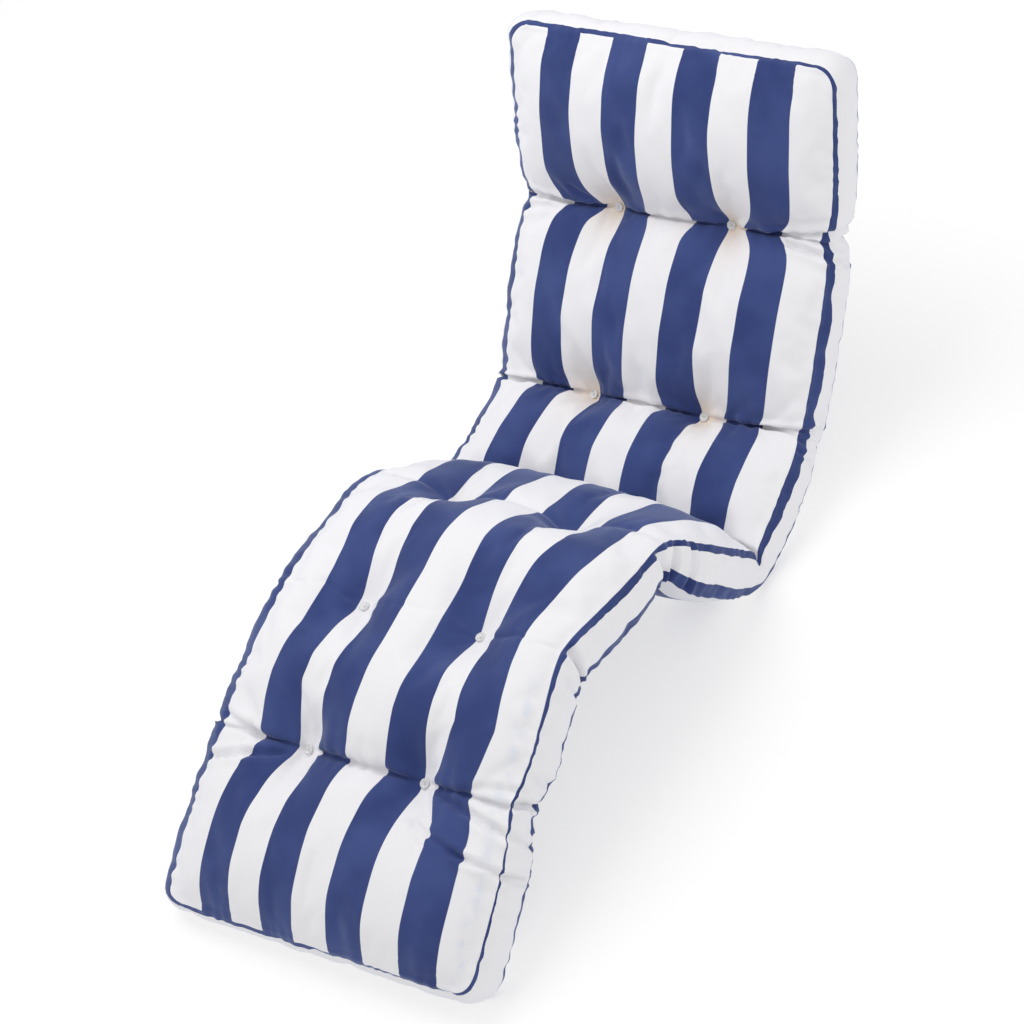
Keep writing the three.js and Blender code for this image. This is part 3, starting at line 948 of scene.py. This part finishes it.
def finish_cloth(nodes, blue_mask):
    """Colour with the painted warm shade at the tufts, weave, sheen and bump that both cloths have in common.
    """
    u, v = nodes.cloth()
    threads = {0: nodes.maths("MULTIPLY", u, SLUBS_ACROSS), 1: nodes.maths("MULTIPLY", v, SLUBS_ALONG)}
    slub = nodes.noise(1.0, 3, nodes.add("ShaderNodeCombineXYZ", threads).outputs[0])
    slub_shade = nodes.step(slub, 0.2, 0.8)

    blue = nodes.mix(nodes.step(nodes.noise(*WORN_NOISE), 0.35, 0.7), BLUE, BLUE_WORN)
    # Painted warm shade: the white turns warm in the dimples at the tufts of the first two rows
    painted_shade = nodes.maths("MULTIPLY", nodes.attribute("tuft_painted_shade"), PAINTED_SHADE_STRENGTH)
    patchy = nodes.step(nodes.noise(*SHOWN_NOISE), 0.38, 0.66)
    shown = nodes.maths("MULTIPLY", nodes.attribute("show_through"), patchy)
    shown = nodes.maths("MULTIPLY", shown, SHOWN_STRENGTH)
    white = nodes.mix(shown, nodes.mix(painted_shade, WHITE, PAINTED_WARM_SHADE), SHOWN_BLUE)
    colour = nodes.mix(blue_mask, white, blue)
    shaded = nodes.mix(nodes.maths("MULTIPLY", slub_shade, SLUB_SHADE), colour, SLUB_GREY, "OVERLAY")

    turn = 2 * math.pi / THREAD_PITCH
    warp = nodes.maths("SINE", nodes.maths("MULTIPLY", u, turn))
    weft = nodes.maths("SINE", nodes.maths("MULTIPLY", v, turn))
    weave = nodes.maths("MULTIPLY", nodes.maths("MULTIPLY", warp, weft), WEAVE_HEIGHT)
    height = nodes.maths("ADD", weave, nodes.maths("MULTIPLY", slub, SLUB_HEIGHT))
    raised = {"Strength": WEAVE_STRENGTH, "Distance": WEAVE_DEPTH, "Height": height}
    nodes.shade({
        "Base Color": shaded,
        "Roughness": nodes.maths("ADD", nodes.maths("MULTIPLY", slub_shade, SLUB_ROUGHNESS), ROUGHNESS),
        "Specular IOR Level": 0.12,
        "Sheen Weight": 0.34,
        "Sheen Tint": (0.74, 0.82, 1.0, 1),
        "Sheen Roughness": 0.45,
        "Normal": nodes.add("ShaderNodeBump", raised).outputs[0],
    })
    return nodes.material


def striped_cloth():
    """Stripes by the place on the flat cloth: they are as many as STRIPES says, and the outer ones white."""
    nodes = Nodes("striped_cloth")
    from_left = nodes.maths("ADD", nodes.attribute("stripe"), HALF_WIDEST)
    count = nodes.maths("MULTIPLY", from_left, STRIPES / (2 * HALF_WIDEST))
    wander = nodes.maths("MULTIPLY", nodes.maths("SUBTRACT", nodes.noise(*WANDER_NOISE), 0.5), STRIPE_WANDER)
    swing = nodes.maths("PINGPONG", nodes.maths("ADD", nodes.maths("ADD", count, 0.5), wander), 1.0)
    white_mask = nodes.step(swing, 0.5 - STRIPE_SOFT, 0.5 + STRIPE_SOFT)
    return finish_cloth(nodes, nodes.maths("SUBTRACT", 1.0, white_mask))


def boxing_cloth():
    nodes = Nodes("boxing_cloth")
    down = nodes.cloth()[1]
    front = nodes.maths("LESS_THAN", down, nodes.attribute("front_edge"))
    up = nodes.maths("SUBTRACT", BOX_HEIGHT, down)
    rear = nodes.maths("LESS_THAN", up, nodes.attribute("rear_edge"))
    return finish_cloth(nodes, nodes.maths("MAXIMUM", front, rear))


case = shape_case()
for material in (striped_cloth(), boxing_cloth(), striped_cloth()):
    case.data.materials.append(material)

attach(case, "root")
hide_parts("cushion")

# Tuft discs: radius and height of each ring of the moulding, from the middle out and round to the back
DISC_RINGS = ((0.0022, 0.0011), (0.0042, 0.0013), (0.0056, 0.0019), (0.0066, 0.0024), (0.0074, 0.00235),
              (0.0079, 0.0018), (0.0080, 0.0011), (0.0078, 0.0004), (0.0070, 0.0))
DISC_SEGMENTS = 36
DISC_HALF_THICK = 0.0012

# The two stitches over each disc: thread's radius, half length, distance from the middle, height of the
# ends and rise of the middle, and cells along and round
THREAD_RADIUS = 0.00055
STITCH_HALF_LENGTH = 0.0021
STITCH_OFFSET = 0.0006
STITCH_HEIGHT = 0.0008
STITCH_RISE = 0.0009
STITCH_CELLS = 8
STITCH_SIDES = 8

# How the discs are turned about themselves, in radians: the first on the right, and more for each row
# and for the left
DISC_TURN = 0.5
TURN_BY_ROW = 0.9
TURN_ON_LEFT = 0.4

# Height of the tufts' seats in the solids: in some rows those of the cloth lie deeper
SOLID_SEATS = {"R1": -0.014, "R2": -0.014, "R3": -0.028, "R4": -0.014, "R5": -0.014, "R6": -0.016}


def plastic():
    nodes = Nodes("milky_plastic")
    cloudy = nodes.noise(180, 2)
    nodes.shade({
        "Base Color": nodes.mix(cloudy, (0.86, 0.86, 0.88, 1), (0.93, 0.93, 0.93, 1)),
        "Roughness": nodes.maths("ADD", nodes.maths("MULTIPLY", cloudy, 0.15), 0.22),
        "Transmission Weight": 0.40,
        "IOR": 1.4,
        "Coat Weight": 0.3,
    })
    return nodes.material


def thread():
    nodes = Nodes("thread")
    twist = nodes.noise(2500, 1)
    nodes.shade({
        "Base Color": nodes.mix(twist, (0.55, 0.54, 0.52, 1), (0.75, 0.74, 0.72, 1)),
        "Roughness": 0.8,
    })
    return nodes.material


def tube_faces(rings, sides, first=0):
    """Faces of a closed tube of rings of points, whose first point has the number first."""
    faces = []
    for n in range(rings - 1):
        low, high = first + n * sides, first + (n + 1) * sides
        for k in range(sides):
            k2 = (k + 1) % sides
            faces.append((low + k, high + k, high + k2, low + k2))
    last = first + (rings - 1) * sides
    faces.append(tuple(range(first, first + sides)))
    faces.append(tuple(reversed(range(last, last + sides))))
    return faces


def moulding_points():
    points = []
    for radius, height in DISC_RINGS:
        for t in np.linspace(0, 2 * np.pi, DISC_SEGMENTS, endpoint=False):
            points.append((radius * math.cos(t), radius * math.sin(t), height))
    return points


def stitch_points(offset):
    """Rings of points along one stitch, which arches over the disc."""
    points = []
    for t in np.linspace(-1, 1, STITCH_CELLS + 1):
        arch = STITCH_HEIGHT + STITCH_RISE * (1 - t * t)
        for a in np.linspace(0, 2 * np.pi, STITCH_SIDES, endpoint=False):
            y, z = THREAD_RADIUS * math.cos(a), THREAD_RADIUS * math.sin(a)
            points.append((STITCH_HALF_LENGTH * t, offset + y, arch + z))
    return points


def make_disc(name, materials):
    """One disc with its two stitches, lying on its back at the origin."""
    points = moulding_points()
    faces = tube_faces(len(DISC_RINGS), DISC_SEGMENTS)
    slots = [0] * len(faces)
    for offset in (-STITCH_OFFSET, STITCH_OFFSET):
        faces += tube_faces(STITCH_CELLS + 1, STITCH_SIDES, len(points))
        points += stitch_points(offset)
    slots += [1] * (len(faces) - len(slots))
    disc = bpy.data.meshes.new(name)
    disc.from_pydata(points, [], faces)
    disc.polygons.foreach_set("material_index", np.array(slots, np.int32))
    for material in materials:
        disc.materials.append(material)
    disc.shade_smooth()
    piece = bpy.data.objects.new(name, disc)
    bpy.context.scene.collection.objects.link(piece)
    return piece


def place_disc(piece, node, i, side):
    """Moves the disc to its own solid, and from there down as much deeper as the cloth's seat lies."""
    seam = SEAMS[i + 1]
    station = seam + np.interp(seam, SEAMS, SKEWS) * TUFT_X[side] / HALF_WIDEST
    slope = float(slope_at(np.array([station]))[0])
    normal = np.array([0, -math.sin(slope), math.cos(slope)])
    low, high = (np.array(corner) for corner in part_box(node))
    middle = (low + high) / 2 + normal * (ROWS[i]["seat"] - SOLID_SEATS[ROWS[i]["name"]])
    turn = DISC_TURN + TURN_BY_ROW * i + TURN_ON_LEFT * (side == "left")
    piece.data.transform(Matrix.Translation(Vector(middle - normal * DISC_HALF_THICK))
                         @ Matrix.Rotation(slope, 4, "X") @ Matrix.Rotation(turn, 4, "Z"))


disc_materials = (plastic(), thread())
for i, row in enumerate(ROWS):
    for side in TUFT_X:
        node = f"tuft_disc_{row['name']}_{side}"
        piece = make_disc(f"disc_{row['name']}_{side}", disc_materials)
        place_disc(piece, node, i, side)
        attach(piece, "root")
        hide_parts(node)

# Camera: its offset from the fold's middle, its turn in degrees, and its lens and sensor in millimetres
CAMERA_OFFSET = Vector((2.1414, -2.0964, 2.8921))
CAMERA_TURN = (44.843, 16.827, 31.732)
LENS = 88.07
SENSOR = 36

camera = bpy.data.objects.new("camera", bpy.data.cameras.new("camera"))
camera.data.lens = LENS
camera.data.sensor_width = SENSOR
camera.location = Vector((0, FOLD_Y, FLOOR_DEPTH)) + CAMERA_OFFSET
camera.rotation_euler = Euler([math.radians(angle) for angle in CAMERA_TURN])
bpy.context.scene.collection.objects.link(camera)
bpy.context.scene.camera = camera

# Soft lights: how far they stand to the right, up and towards the camera from the point that they light,
# as the camera sees it, their size in metres and their power in watts
LIT_POINT = Vector((0, 0, 0.25))
LIGHTS = table(
    ("name", "right", "up", "nearer", "size", "power"),
    ("key", -1.6, 2.3, 1.4, 2.4, 45),
    ("fill", 2.6, 0.6, 1.8, 2.0, 10),
)
WORLD_LIGHT = 0.78

# Floor: half its size, its grey, its own glow and its roughness
FLOOR_REACH = 30.0
FLOOR_GREY = 0.42
FLOOR_GLOW = 0.56
FLOOR_ROUGHNESS = 0.9


def area_light(light):
    lamp = bpy.data.lights.new(light["name"], "AREA")
    lamp.shape = "DISK"
    lamp.size = light["size"]
    lamp.energy = light["power"]
    holder = bpy.data.objects.new(light["name"], lamp)
    offset = Vector((light["right"], light["up"], light["nearer"]))
    holder.location = LIT_POINT + camera.rotation_euler.to_matrix() @ offset
    holder.rotation_euler = (holder.location - LIT_POINT).to_track_quat("Z", "Y").to_euler()
    bpy.context.scene.collection.objects.link(holder)


def light_world():
    world = bpy.data.worlds.new("studio")
    world.use_nodes = True
    background = world.node_tree.nodes["Background"]
    background.inputs["Color"].default_value = (1.0, 1.0, 1.0, 1)
    background.inputs["Strength"].default_value = WORLD_LIGHT
    bpy.context.scene.world = world
    bpy.context.scene.view_settings.view_transform = "Standard"


def make_floor():
    mesh = bpy.data.meshes.new("floor")
    corners = [(FLOOR_REACH * x, FLOOR_REACH * y, 0) for x, y in ((-1, -1), (1, -1), (1, 1), (-1, 1))]
    mesh.from_pydata(corners, [], [(0, 1, 2, 3)])
    nodes = Nodes("floor")
    nodes.shade({
        "Base Color": (FLOOR_GREY, FLOOR_GREY, FLOOR_GREY, 1),
        "Emission Color": (1, 1, 1, 1),
        "Emission Strength": FLOOR_GLOW,
        "Roughness": FLOOR_ROUGHNESS,
    })
    mesh.materials.append(nodes.material)
    floor = bpy.data.objects.new("floor", mesh)
    bpy.context.scene.collection.objects.link(floor)
    return floor


for light in LIGHTS:
    area_light(light)
light_world()
make_floor()
